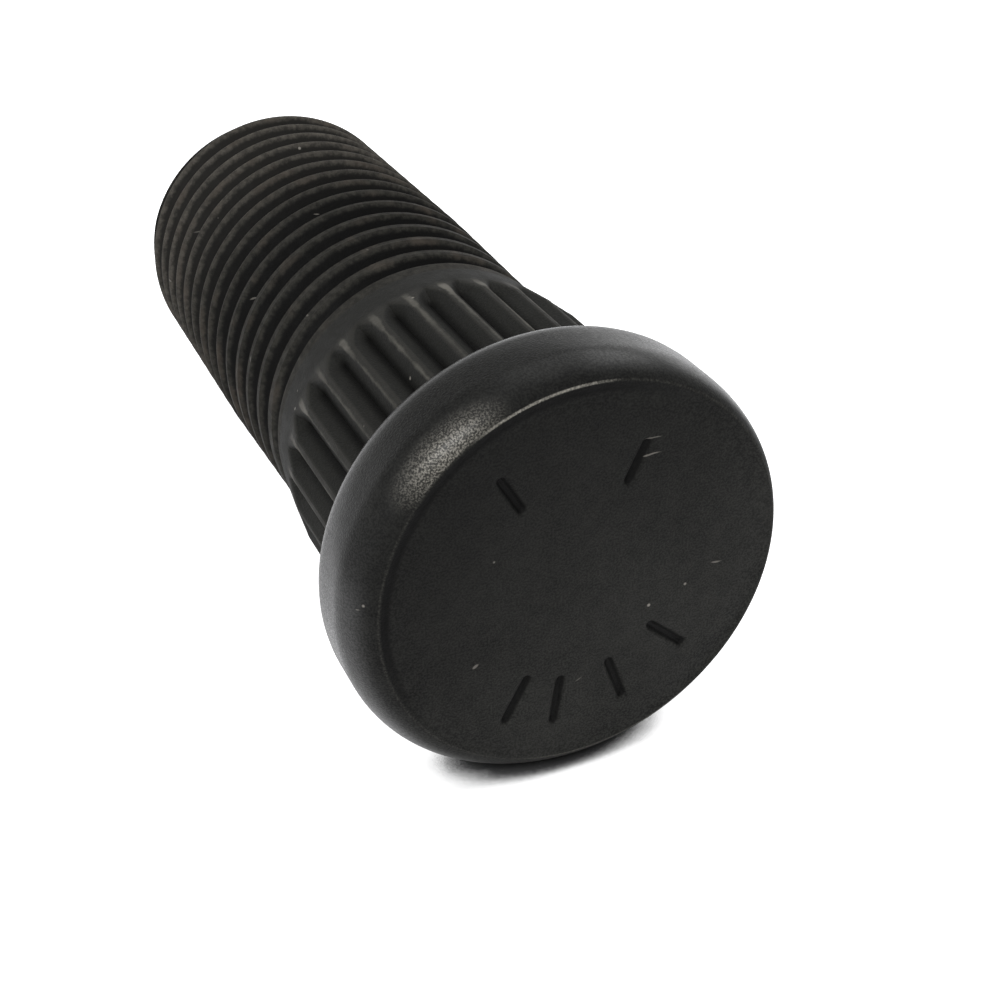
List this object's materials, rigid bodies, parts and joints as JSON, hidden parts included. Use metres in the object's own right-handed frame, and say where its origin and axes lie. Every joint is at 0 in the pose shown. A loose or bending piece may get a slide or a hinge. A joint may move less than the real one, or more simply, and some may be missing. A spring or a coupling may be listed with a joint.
{
  "type": "wheel stud",
  "caption": "Press-in wheel stud: flat round head, serrated shoulder, smooth collar and a fine right-hand thread, in black-finished steel.",
  "frame": {"origin": "centre of the outer face of the head, which the stud stands on", "axes": "+Z along the shank from the head to the tip of the thread; +X across the face, towards the right of the picture"},
  "size_m": [0.0174, 0.0174, 0.0369],
  "materials": {
    "black_steel": "matt black phosphate over forged and rolled steel"
  },
  "bodies": {
    "root": {"wheel_stud": "black_steel"}
  },
  "joints": []
}
